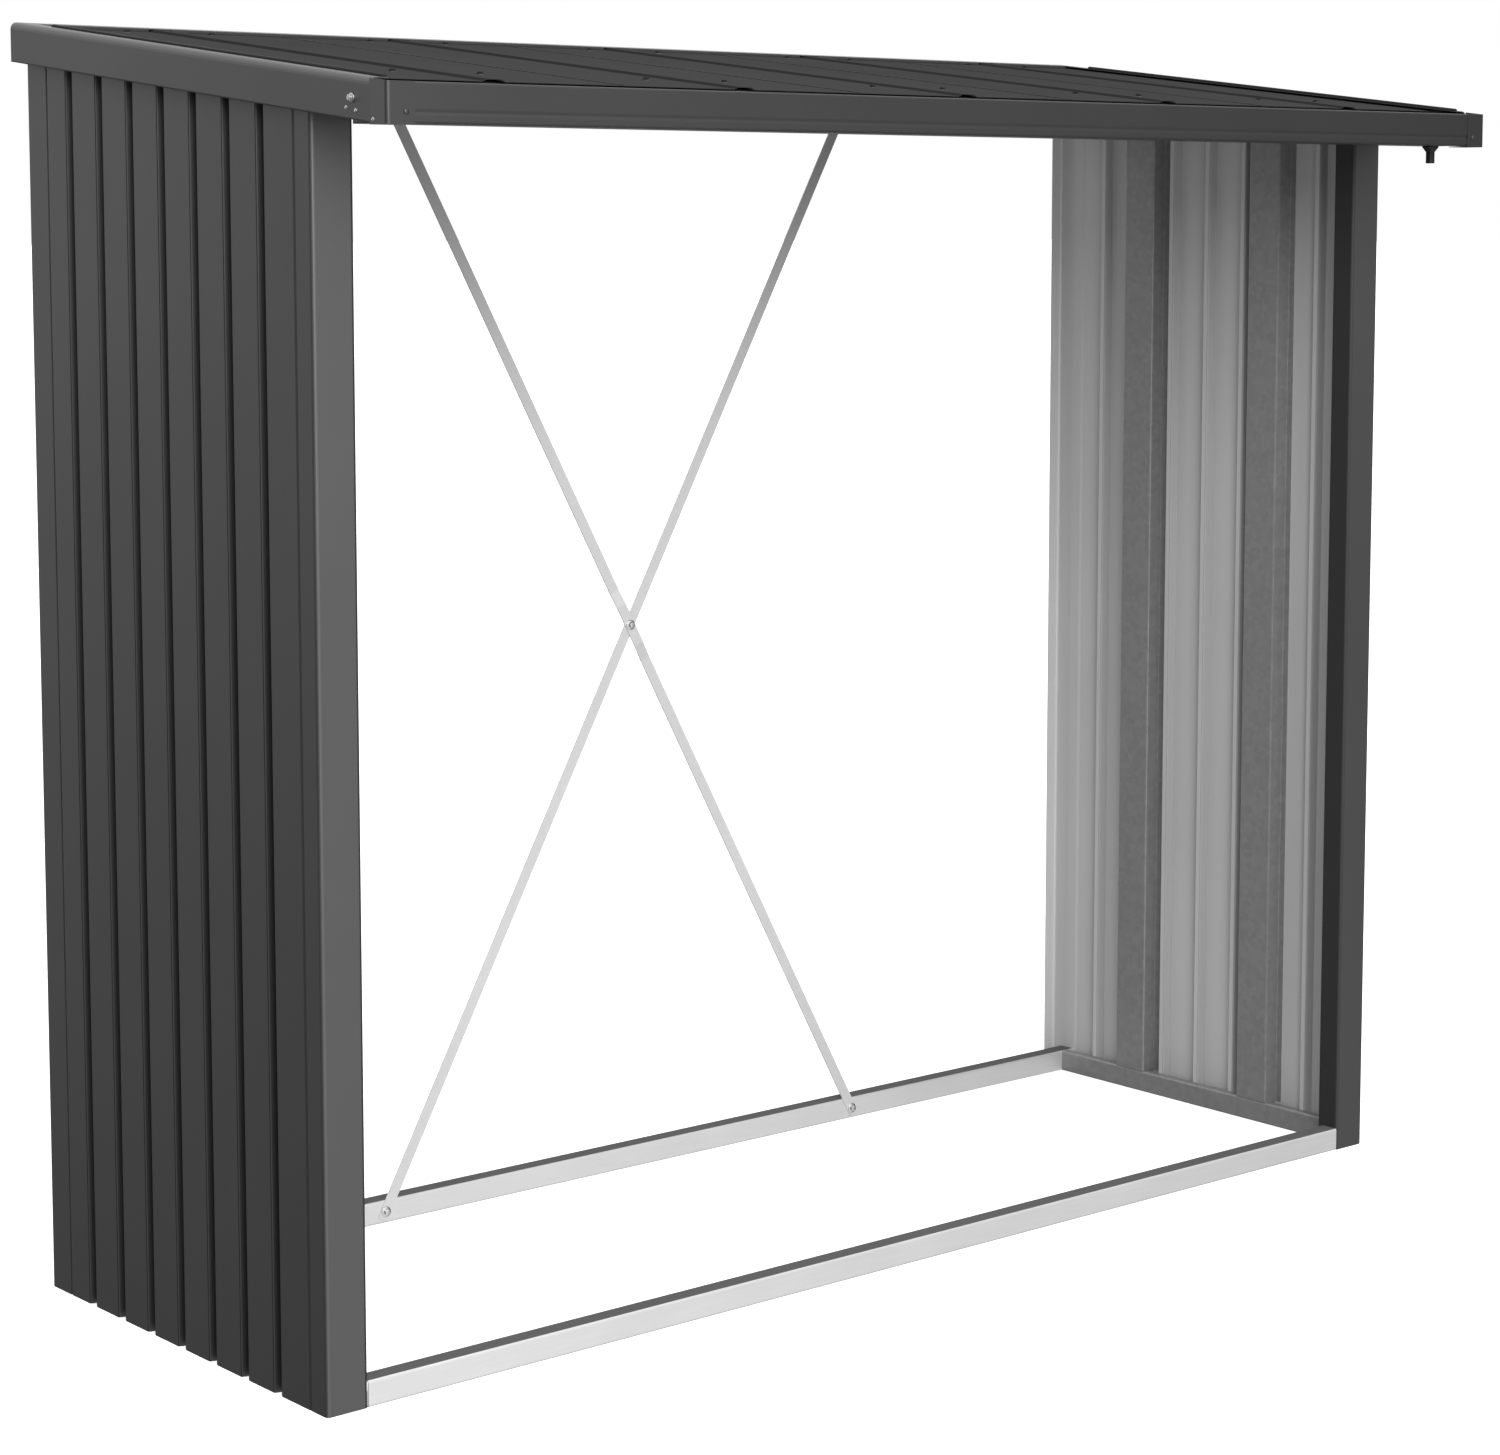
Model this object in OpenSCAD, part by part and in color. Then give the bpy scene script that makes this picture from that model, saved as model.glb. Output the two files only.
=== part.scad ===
// A free-standing log store of folded sheet steel: two grooved side walls, an open front and back,
// a roof that falls to a gutter along the front, a floor frame of rails and a crossed brace at the rear.
// Millimetres. X to the right, Y to the back, Z up, from the ground under the middle of the roof.

/* [Overall] */
// Width over the roof
roof_w = 2290; // [1800:1:2800]
// Depth over the roof, with its gutter and rear fascia
roof_d = 1020; // [960:1:1300]
// Height of the roof's rear edge
rear_h = 1990; // [1500:1:2400]
// Fall of the roof towards the front, in degrees
roof_pitch = 6.6; // [4:0.1:9]
// Overhang of the roof past each side wall
side_overhang = 19.5; // [12:0.5:40]
// Overhang of the roof in front of the posts
front_overhang = 214; // [150:1:260]
// Overhang of the roof behind the walls
rear_overhang = 11; // [6:0.5:25]

/* [Side walls] */
// Thickness of the wall sheet
wall_t = 1; // [0.8:0.1:1.4]
// Distance from one groove to the next
groove_pitch = 89.2; // [80:0.1:95]
// Least distance of the middle of a groove from the ends of the wall
groove_margin = 110; // [90:0.5:125]
// Width of a groove at its mouth
groove_w = 20; // [16:0.5:23]
// Width of a groove at its floor
groove_floor_w = 12; // [8:0.5:14]
// Depth of a groove
groove_depth = 15; // [8:0.5:20]
// Bend radius of the grooves, on the middle of the sheet
groove_bend_r = 2; // [1:0.1:2.6]
// Length of wall sheet that lies behind a post's side leg
wall_lap = 25; // [15:0.5:32]
// Length along the wall of the step that brings the sheet flush with the posts
joggle_run = 6; // [4:0.5:10]

/* [Posts] */
// Thickness of the post sheet
post_t = 1.5; // [1.2:0.1:2.5]
// Width of a front post's face
post_face_w = 70; // [60:0.5:90]
// Depth of a front post's return beside the opening
post_return = 42; // [32:0.5:60]
// Length of a front post's leg along the wall
front_leg = 40; // [34:0.5:60]
// Width of a rear post's flange
rear_flange_w = 26; // [20:0.5:40]
// Length of a rear post's leg along the wall
rear_leg = 60; // [50:0.5:72]
// Bend radius of the posts, on the middle of the sheet
post_bend_r = 5; // [2:0.5:7]

/* [Floor rails] */
// Thickness of the rails
rail_t = 2; // [1.5:0.1:3]
// Height of the rails
rail_h = 40; // [30:0.5:60]
// Depth of the top flange of the front and rear rails
rail_flange = 31; // [24:0.5:34]
// Depth of the front rail's foot
rail_foot = 55; // [50:0.5:70]
// Distance of the rear rail's face from the back of the walls
rear_rail_inset = 57; // [54:0.5:70]
// Distance of the side rails' face from the outside of the walls
side_rail_inset = 33; // [27:0.5:45]
// Bend radius of the rails, on the middle of the sheet
rail_bend_r = 2.5; // [1.8:0.1:4]
// Diameter of the ground anchor holes
anchor_d = 9; // [6:0.5:12]
// Distance of the anchor holes from the ends of the front rail
anchor_in = 155.5; // [40:0.5:600]

/* [Wall uprights] */
// Thickness of the uprights
upright_t = 1.2; // [1:0.1:1.6]
// Width of an upright's face
upright_face_w = 72; // [70:0.5:80]
// Width of the flanges on the wall
upright_flange_w = 12; // [8:0.5:14]
// Distance of an upright's middle from the groove that it covers, towards the middle of the wall
upright_shift = 22; // [18:0.5:22.5]

/* [Roof frame] */
// Thickness of the beams and top rails
beam_t = 1.5; // [1.2:0.1:2.5]
// Height of the front beam
front_beam_h = 48; // [36:0.5:56]
// Height of the rear beam
rear_beam_h = 75; // [60:0.5:100]
// Depth of the front beam's flanges
front_beam_flange = 31; // [20:0.5:38]
// Height of the top rails along the walls
top_rail_h = 40; // [28:0.5:60]

/* [Roof] */
// Thickness of a roof sheet
sheet_t = 1; // [0.8:0.1:1.4]
// Depth of the sheets below the upper edge of the fascias
roof_recess = 5; // [4:0.5:12]
// Width of a sheet's rib at its base
rib_w = 40; // [32:0.5:60]
// Width of a sheet's rib at its top
rib_top_w = 24; // [16:0.5:28]
// Depth of the flanges that join two sheets
seam_depth = 14; // [8:0.5:20]
// Clearance between sheets, and under the fascia's flange
sheet_gap = 0.4; // [0.2:0.1:0.8]
// Thickness of the sealing left between the roof sheets and what carries them
seat_gap = 0.2; // [0.1:0.05:0.5]
// Height of the fascias
fascia_h = 60; // [50:0.5:80]
// Thickness of the fascias
fascia_t = 1.2; // [1:0.1:1.8]
// Width of the fascias' upper flange
fascia_flange = 30; // [26:0.5:45]
// Height of the side fascias' lip on the wall
fascia_lip = 15; // [8:0.5:25]
// Bend radius of the fascias and roof sheets, on the middle of the sheet
fascia_bend_r = 2; // [1:0.1:3]
// Bend radius of the side fascias' upper edge, on the middle of the sheet
fascia_top_r = 10; // [3:0.5:11]

/* [Gutter] */
// Height of the gutter's face
gutter_h = 56.5; // [50:0.5:66]
// Depth of the upper edge of the gutter and its caps below the roof's upper plane
gutter_drop = 1.5; // [0:0.5:4]
// Depth of the gutter
gutter_d = 110; // [90:0.5:140]
// Thickness of the gutter
gutter_t = 1.5; // [1.2:0.1:2]
// Depth of the lip along the gutter's upper edge
gutter_lip = 9; // [6:0.5:12]
// Depth of the face's foot under the gutter's floor
gutter_foot = 12; // [8:0.5:16]
// Depth of the flange under the roof sheets
gutter_flange = 35; // [20:0.5:60]
// Length of the roof sheets that reaches over the gutter
gutter_reach = 12; // [8:0.5:16]
// Height of the bead along the gutter's face
bead_h = 9; // [7:0.5:12]
// Depth of that bead
bead_depth = 1; // [0.5:0.1:3]
// Height of the bead's middle above the gutter's bottom
bead_up = 15; // [12:0.5:20]
// Bend radius of the gutter, on the middle of the sheet
gutter_bend_r = 2.5; // [1.5:0.1:4]
// Thickness of the gutter's end caps
cap_t = 1.2; // [1:0.1:1.8]
// Length of an end cap along the gutter
cap_len = 45; // [30:0.5:60]
// Depth of an end cap, as far as the side fascia
cap_d = 40; // [34:0.5:60]
// Bend radius of an end cap's upright corner, on the middle of the sheet
cap_bend_r = 5; // [3:0.5:8]

/* [Drain spigot] */
// Distance of the spigot from the gutter's right end
spigot_in = 76; // [70:0.5:200]
// Diameter of the collar under the gutter
collar_d = 28; // [22:0.5:30]
// Height of the straight collar
collar_h = 3; // [2:0.5:5]
// Height of collar and taper together
taper_h = 11; // [8:0.5:14]
// Outer diameter of the spout
spout_d = 15; // [12:0.5:18]
// Bore of the spout
spout_bore = 10; // [8:0.5:11]
// Length of the spigot below the gutter
spigot_len = 30.5; // [24:0.5:60]
// Diameter of the neck in the gutter's hole
neck_d = 18; // [16:0.5:20]
// Height of the neck's rim inside the gutter
neck_rim = 2; // [1:0.5:4]
// Clearance round the neck
neck_gap = 0.25; // [0.1:0.05:0.5]

/* [Brace] */
// Width of a brace strap
strap_w = 20; // [15:0.5:30]
// Thickness of a brace strap
strap_t = 2; // [1.5:0.1:3]
// Distance of a strap's ends to either side of the middle
strap_x = 528; // [300:1:800]
// Length of a strap past its end bolt
strap_end = 14; // [10:0.5:16]
// Half the length of strap that lies on the other one where they cross
cross_flat = 40; // [30:0.5:80]
// Length of the bend that lifts a strap over the other one
cross_run = 30; // [20:0.5:60]

/* [Hidden] */
$fn = 48;
// Straight steps round a small, a usual and a wide bend
small_bend = 2;
usual_bend = 3;
wide_bend = 5;
// One node for each roof sheet
sheet_count = 5;

coat = "#4b4e51";
back_coat = "#a9acad";
bare_metal = "#c3c6c8";
black_plastic = "#1b1c1d";

wall_x = roof_w / 2 - side_overhang;
front_y = -roof_d / 2 + front_overhang;
rear_y = roof_d / 2 - rear_overhang;
mid_y = (front_y + rear_y) / 2;
// As many grooves as the wall's depth holds
groove_count = 1 + floor((rear_y - front_y - 2 * groove_margin) / groove_pitch);
// Inner face of a wall where it lies behind a post's leg, and the crest of its ribs
lap_x = wall_x - post_t - wall_t;
crest_x = wall_x - wall_t - groove_depth;
// Depth of the seat of the roof sheets below the roof's upper plane
under_sheet = roof_recess + sheet_t + seat_gap;
// Face of the rear rail and of the rear beam, where the brace lies
brace_y = rear_y - rear_rail_inset;
// Front of the bend inside the rear posts, where the feet of the rear rail and beam end
rear_seat_y = rear_y - post_t - post_bend_r;
rib_h = roof_recess - fascia_t - sheet_gap;
// Back of the gutter, its upper edge, and its own front and bottom faces inside the caps
gutter_rear = -roof_d / 2 + gutter_d;
gutter_top = roof_z(-roof_d / 2, gutter_drop);
gutter_front = -roof_d / 2 + cap_t;
gutter_bottom = gutter_top - gutter_h + cap_t;
floor_under = gutter_bottom + gutter_t;
// The gutter ends inside the caps, in line with the walls
gutter_end = wall_x - sheet_gap;
cap_back = -roof_d / 2 + cap_d;
spigot_pos = [roof_w / 2 - spigot_in, (gutter_front + gutter_rear) / 2, floor_under];
rear_beam_bottom = roof_z(brace_y, under_sheet) - rear_beam_h;
// Middle of the straps' upper and lower end bolts
strap_top = rear_beam_bottom + rear_beam_h / 2;
strap_bottom = rail_h / 2;
strap_angle = atan2(strap_top - strap_bottom, 2 * strap_x);
strap_half = norm([strap_top - strap_bottom, 2 * strap_x]) / 2 + strap_end;
// Room for cutting away whatever stands above a plane
ample = 2 * (roof_w + roof_d + rear_h);

// Height, at depth y, of a plane that runs with the roof at a given depth below its upper edge
function roof_z(y, depth) = rear_h - (roof_d / 2 - y) * tan(roof_pitch) - depth / cos(roof_pitch);

// Folded sheet: the middle line of a section becomes an outline with round bends, whose radius r is one number
// or a list with one for each bend
function unit(v) = v / norm(v);
function left_of(v) = [-v[1], v[0]];
function turned(v, a) = [v[0] * cos(a) - v[1] * sin(a), v[0] * sin(a) + v[1] * cos(a)];
function reversed(list) = [for (i = [len(list) - 1 : -1 : 0]) list[i]];
function bend(a, b, c, r, side, steps) =
    let (
        d0 = unit(b - a),
        d1 = unit(c - b),
        turn = atan2(d0[0] * d1[1] - d0[1] * d1[0], d0 * d1),
        hand = sign(turn),
        start = b - r * tan(abs(turn) / 2) * d0,
        centre = start + hand * r * left_of(d0)
    )
    [for (k = [0 : steps]) centre - turned(hand * (r - hand * side) * left_of(d0), turn * k / steps)];
function radius_at(r, i) = is_list(r) ? r[i - 1] : r;
function sheet_side(path, r, side, steps) =
    let (last = len(path) - 1)
    [
        path[0] + side * left_of(unit(path[1] - path[0])),
        for (i = [1 : 1 : last - 1])
            each bend(path[i - 1], path[i], path[i + 1], radius_at(r, i), side, steps),
        path[last] + side * left_of(unit(path[last] - path[last - 1]))
    ];
function sheet_outline(path, r, t, steps) =
    concat(sheet_side(path, r, t / 2, steps), reversed(sheet_side(path, r, -t / 2, steps)));

module folded_sheet(path, r, t, length, steps = usual_bend) {
    linear_extrude(length)
        polygon(sheet_outline(path, r, t, steps));
}

// A section drawn in Y and Z that runs along X, from -half to half
module along_x(half) {
    translate([-half, 0, 0])
        rotate([90, 0, 90])
            children();
}

// A section drawn in X and Z that runs towards the front from a given depth
module along_y(back) {
    translate([0, back, 0])
        rotate([90, 0, 0])
            children();
}

// The right-hand form of a piece as it is, and its left-hand form in the mirror
module on_side(side) {
    mirror([side < 0 ? 1 : 0, 0, 0])
        children();
}

// The roof's own frame: the upper rear edge is its origin, and the roof lies level in it
module on_roof() {
    translate([0, roof_d / 2, rear_h])
        rotate([roof_pitch, 0, 0])
            children();
}

module cut_below_roof(depth) {
    difference() {
        children();
        on_roof()
            translate([-ample / 2, -ample / 2, -depth])
                cube(ample);
    }
}

module between_depths(y0, y1) {
    intersection() {
        children();
        translate([-ample / 2, y0, -ample / 2])
            cube([ample, y1 - y0, ample]);
    }
}

module anchor_holes(y) {
    for (side = [-1, 1])
        translate([side * (wall_x - post_face_w - anchor_in), y, -rail_t])
            cylinder(d = anchor_d, h = 3 * rail_t);
}

module cross_rail(face_y, foot, half) {
    h = rail_t / 2;
    color(bare_metal)
        difference() {
            along_x(half)
                folded_sheet(
                    [
                        [face_y + rail_flange, rail_h - h], [face_y + h, rail_h - h],
                        [face_y + h, h], [face_y + foot, h]
                    ],
                    rail_bend_r, rail_t, 2 * half
                );
            anchor_holes(face_y + (rail_flange + foot) / 2);
        }
}

module front_floor_rail() {
    cross_rail(front_y, rail_foot, wall_x - post_face_w);
}

module rear_floor_rail() {
    cross_rail(brace_y, rear_seat_y - brace_y, lap_x);
}

// A channel whose web faces the logs and whose flanges reach the ribs of the wall
module wall_channel(height, t, r, length) {
    face = wall_x - side_rail_inset + t / 2;
    folded_sheet(
        [[crest_x, height - t / 2], [face, height - t / 2], [face, t / 2], [crest_x, t / 2]],
        r, t, length
    );
}

module side_floor_rail(side) {
    color(bare_metal)
        on_side(side)
            along_y(brace_y)
                wall_channel(rail_h, rail_t, rail_bend_r, brace_y - front_y - post_t);
}

module left_floor_rail() {
    side_floor_rail(-1);
}

module right_floor_rail() {
    side_floor_rail(1);
}

module front_post(side) {
    h = post_t / 2;
    color(coat)
        on_side(side)
            cut_below_roof(under_sheet)
                folded_sheet(
                    [
                        [wall_x - h, front_y + front_leg], [wall_x - h, front_y + h],
                        [wall_x - post_face_w + h, front_y + h],
                        [wall_x - post_face_w + h, front_y + post_return]
                    ],
                    post_bend_r, post_t, rear_h, wide_bend
                );
}

module front_left_post() {
    front_post(-1);
}

module front_right_post() {
    front_post(1);
}

module rear_post(side) {
    h = post_t / 2;
    color(coat)
        on_side(side)
            cut_below_roof(under_sheet + beam_t + seat_gap)
                folded_sheet(
                    [
                        [wall_x - h, rear_y - rear_leg], [wall_x - h, rear_y - h],
                        [wall_x - rear_flange_w, rear_y - h]
                    ],
                    post_bend_r, post_t, rear_h, wide_bend
                );
}

module rear_left_post() {
    rear_post(-1);
}

module rear_right_post() {
    rear_post(1);
}

function groove_y(i) = mid_y + (i - (groove_count - 1) / 2) * groove_pitch;
function wall_path() =
    let (
        flat = wall_x - wall_t / 2,
        lap = flat - post_t,
        floor_x = flat - groove_depth,
        front_step = front_y + front_leg + sheet_gap,
        rear_step = rear_y - rear_leg - sheet_gap
    )
    [
        [lap, front_y + front_leg - wall_lap], [lap, front_step], [flat, front_step + joggle_run],
        for (i = [0 : groove_count - 1])
            each [
                [flat, groove_y(i) - groove_w / 2], [floor_x, groove_y(i) - groove_floor_w / 2],
                [floor_x, groove_y(i) + groove_floor_w / 2], [flat, groove_y(i) + groove_w / 2]
            ],
        [flat, rear_step - joggle_run], [lap, rear_step], [lap, rear_y - rear_leg + wall_lap]
    ];

module wall_sheet(side) {
    color(coat)
        on_side(side)
            cut_below_roof(under_sheet)
                folded_sheet(wall_path(), groove_bend_r, wall_t, rear_h, small_bend);
}

module left_wall_sheet() {
    wall_sheet(-1);
}

module right_wall_sheet() {
    wall_sheet(1);
}

// A hat-section upright inside the wall, over its second groove from either end: it stands on the side rail
// and carries the top rail
module wall_upright(side, end) {
    h = upright_t / 2;
    seat = wall_x - wall_t - h;
    face = wall_x - side_rail_inset + h;
    middle = groove_y(end < 0 ? 1 : groove_count - 2) - end * upright_shift;
    reach = upright_face_w / 2;
    color(back_coat)
        on_side(side)
            cut_below_roof(under_sheet + top_rail_h)
                translate([0, 0, rail_h])
                    folded_sheet(
                        [
                            [seat, middle - reach - upright_flange_w], [seat, middle - reach + h],
                            [face, middle - reach + h], [face, middle + reach - h],
                            [seat, middle + reach - h], [seat, middle + reach + upright_flange_w]
                        ],
                        groove_bend_r, upright_t, rear_h, small_bend
                    );
}

module left_front_upright() {
    wall_upright(-1, -1);
}

module left_rear_upright() {
    wall_upright(-1, 1);
}

module right_front_upright() {
    wall_upright(1, -1);
}

module right_rear_upright() {
    wall_upright(1, 1);
}

module wall_top_rail(side) {
    color(back_coat)
        on_side(side)
            between_depths(front_y + post_t, brace_y)
                on_roof()
                    translate([0, 0, -under_sheet - top_rail_h])
                        along_y(roof_d)
                            wall_channel(top_rail_h, beam_t, groove_bend_r, 3 * roof_d);
}

module left_wall_top_rail() {
    wall_top_rail(-1);
}

module right_wall_top_rail() {
    wall_top_rail(1);
}

// A beam under the roof sheets: its upper flange runs with the roof
module roof_beam(face_y, height, top_end, foot_end, half) {
    h = beam_t / 2;
    bottom = roof_z(face_y, under_sheet) - height + h;
    color(back_coat)
        along_x(half)
            folded_sheet(
                [
                    [top_end, roof_z(top_end, under_sheet + h)],
                    [face_y + h, roof_z(face_y + h, under_sheet + h)],
                    [face_y + h, bottom], [foot_end, bottom]
                ],
                groove_bend_r, beam_t, 2 * half
            );
}

module front_top_beam() {
    back = front_y + front_beam_flange;
    roof_beam(front_y, front_beam_h, back, back, wall_x - post_face_w);
}

module rear_top_beam() {
    roof_beam(brace_y, rear_beam_h, roof_d / 2 - fascia_t - sheet_gap, rear_seat_y, lap_x);
}

// The gutter's face: a lip along its top, a bead low down, and a foot under the gutter's floor
module gutter_face() {
    h = gutter_t / 2;
    top = gutter_top - h;
    front = gutter_front + h;
    base = gutter_bottom + h;
    bead = gutter_bottom + bead_up;
    color(coat)
        along_x(gutter_end)
            folded_sheet(
                [
                    [gutter_front + gutter_lip, top], [front, top],
                    [front, bead + bead_h / 2], [front + bead_depth, bead], [front, bead - bead_h / 2],
                    [front, base], [gutter_front + gutter_foot, base]
                ],
                gutter_bend_r, gutter_t, 2 * gutter_end
            );
}

module gutter_floor() {
    front = gutter_front + gutter_t / 2 + gutter_bend_r;
    color(coat)
        difference() {
            translate([-gutter_end, front, floor_under])
                cube([2 * gutter_end, gutter_rear - front, gutter_t]);
            translate(spigot_pos - [0, 0, gutter_t])
                cylinder(d = neck_d + 2 * neck_gap, h = 3 * gutter_t);
        }
}

// The back wall stands on the floor, and its upper flange lies under the roof sheets
module gutter_back_wall() {
    h = gutter_t / 2;
    back = gutter_rear - h;
    tip = back + gutter_flange;
    color(coat)
        along_x(gutter_end)
            folded_sheet(
                [
                    [back, floor_under + gutter_t], [back, roof_z(back, under_sheet + h)],
                    [tip, roof_z(tip, under_sheet + h)]
                ],
                gutter_bend_r, gutter_t, 2 * gutter_end
            );
}

// An end cap: a front and an end plate round one upright bend, closed below and cut off along the roof
module gutter_cap(side) {
    h = cap_t / 2;
    front = -roof_d / 2;
    end = roof_w / 2;
    path = [[end - cap_len, front + h], [end - h, front + h], [end - h, cap_back]];
    color(coat)
        on_side(side)
            cut_below_roof(gutter_drop)
                translate([0, 0, gutter_top - gutter_h]) {
                    folded_sheet(path, cap_bend_r, cap_t, rear_h, wide_bend);
                    linear_extrude(cap_t)
                        polygon([
                            for (p = sheet_side(path, cap_bend_r, -h, wide_bend)) p,
                            [end - cap_len, cap_back]
                        ]);
                }
}

module left_gutter_cap() {
    gutter_cap(-1);
}

module right_gutter_cap() {
    gutter_cap(1);
}

module gutter_spigot() {
    neck_h = gutter_t + neck_rim;
    color(black_plastic)
        translate(spigot_pos)
            rotate_extrude()
                polygon([
                    [spout_bore / 2, neck_h], [neck_d / 2, neck_h], [neck_d / 2, 0],
                    [collar_d / 2, 0], [collar_d / 2, -collar_h], [spout_d / 2, -taper_h],
                    [spout_d / 2, -spigot_len], [spout_bore / 2, -spigot_len]
                ]);
}

module side_fascia(side) {
    h = fascia_t / 2;
    color(coat)
        on_side(side)
            between_depths(cap_back, roof_d / 2 - fascia_t)
                on_roof()
                    along_y(roof_d)
                        folded_sheet(
                            [
                                [roof_w / 2 - fascia_flange, -h], [roof_w / 2 - h, -h],
                                [roof_w / 2 - h, h - fascia_h], [wall_x + h, h - fascia_h],
                                [wall_x + h, fascia_lip - fascia_h]
                            ],
                            [fascia_top_r, fascia_bend_r, fascia_bend_r], fascia_t, 3 * roof_d, wide_bend
                        );
}

module left_roof_fascia() {
    side_fascia(-1);
}

module right_roof_fascia() {
    side_fascia(1);
}

// Its flanges end between the side fascias' flanges, and a plate at each corner closes a side fascia's end
module rear_roof_fascia() {
    h = fascia_t / 2;
    web = roof_d / 2 - h;
    tip = web - fascia_flange;
    base = roof_z(roof_d / 2, fascia_h);
    flanges_end = roof_w / 2 - fascia_flange - sheet_gap;
    corner = [[flanges_end, -h], [roof_w / 2 - h, -h], [roof_w / 2 - h, -fascia_h]];
    color(coat) {
        along_x(flanges_end)
            folded_sheet(
                [
                    [tip, roof_z(tip, h)], [web, roof_z(web, h)],
                    [web, base + h], [rear_y, base + h]
                ],
                fascia_bend_r, fascia_t, 2 * flanges_end
            );
        for (side = [-1, 1])
            on_side(side)
                between_depths(roof_d / 2 - fascia_t, roof_d / 2)
                    on_roof()
                        along_y(roof_d)
                            linear_extrude(3 * roof_d)
                                polygon([
                                    for (p = sheet_side(corner, fascia_top_r, h, wide_bend)) p,
                                    [flanges_end, -fascia_h]
                                ]);
    }
}

// One roof sheet in the roof's own frame: a rib down its middle, a flange under each seam
module roof_sheet(i) {
    color(coat)
        on_roof()
            translate([(i - (sheet_count + 1) / 2) * 2 * wall_x / sheet_count, 0, 0]) {
                sheet_skin(i == 1, i == sheet_count);
                for (side = [-1, 1])
                    if (side < 0 ? i > 1 : i < sheet_count)
                        on_side(side)
                            seam_flange();
            }
}

function sheet_half() = wall_x / sheet_count - sheet_gap / 2;
// The outline of a sheet across the roof, with an upturned edge beside a fascia
function sheet_path(turned_left, turned_right) =
    let (
        level = -roof_recess - sheet_t / 2,
        edge = sheet_half() - sheet_t / 2
    )
    [
        if (turned_left) [-edge, -fascia_t],
        [turned_left ? -edge : -sheet_half(), level],
        [-rib_w / 2, level], [-rib_top_w / 2, level + rib_h],
        [rib_top_w / 2, level + rib_h], [rib_w / 2, level],
        [turned_right ? edge : sheet_half(), level],
        if (turned_right) [edge, -fascia_t]
    ];

module sheet_skin(turned_left, turned_right) {
    rear_end = -fascia_t / cos(roof_pitch) - roof_recess * tan(roof_pitch) - sheet_gap;
    front_end = -(roof_d - gutter_d + gutter_reach) / cos(roof_pitch);
    along_y(rear_end)
        folded_sheet(
            sheet_path(turned_left, turned_right),
            fascia_bend_r, sheet_t, rear_end - front_end, small_bend
        );
}

module seam_flange() {
    rear_end = (brace_y - roof_d / 2 - seam_depth) / cos(roof_pitch);
    front_end = (front_y + front_beam_flange - roof_d / 2 + seam_depth) / cos(roof_pitch);
    translate([sheet_half() - sheet_t, front_end, -roof_recess - seam_depth])
        cube([sheet_t, rear_end - front_end, seam_depth]);
}

module roof_sheet_1() {
    roof_sheet(1);
}

module roof_sheet_2() {
    roof_sheet(2);
}

module roof_sheet_3() {
    roof_sheet(3);
}

module roof_sheet_4() {
    roof_sheet(4);
}

module roof_sheet_5() {
    roof_sheet(5);
}

// A strap in the plane of the rear rail's face, turned to its own diagonal
module brace_strap(path, tilt) {
    color(bare_metal)
        translate([0, brace_y, (strap_top + strap_bottom) / 2])
            rotate([0, tilt, 0])
                translate([0, 0, -strap_w / 2])
                    folded_sheet(path, 2 * strap_t, strap_t, strap_w);
}

module rising_brace_strap() {
    h = strap_t / 2;
    brace_strap([[-strap_half, -h], [strap_half, -h]], -strap_angle);
}

// The strap that is lifted over the other one where they cross
module falling_brace_strap() {
    h = strap_t / 2;
    bend_end = cross_flat + cross_run;
    brace_strap(
        [
            [-strap_half, -h], [-bend_end, -h], [-cross_flat, -h - strap_t],
            [cross_flat, -h - strap_t], [bend_end, -h], [strap_half, -h]
        ],
        strap_angle
    );
}

front_floor_rail();
rear_floor_rail();
left_floor_rail();
right_floor_rail();
front_left_post();
front_right_post();
rear_left_post();
rear_right_post();
left_wall_sheet();
right_wall_sheet();
left_front_upright();
left_rear_upright();
right_front_upright();
right_rear_upright();
left_wall_top_rail();
right_wall_top_rail();
front_top_beam();
rear_top_beam();
gutter_face();
gutter_floor();
gutter_back_wall();
left_gutter_cap();
right_gutter_cap();
gutter_spigot();
left_roof_fascia();
right_roof_fascia();
rear_roof_fascia();
roof_sheet_1();
roof_sheet_2();
roof_sheet_3();
roof_sheet_4();
roof_sheet_5();
rising_brace_strap();
falling_brace_strap();
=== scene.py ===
import math

import bmesh
import bpy
from mathutils import Matrix, Vector


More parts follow.
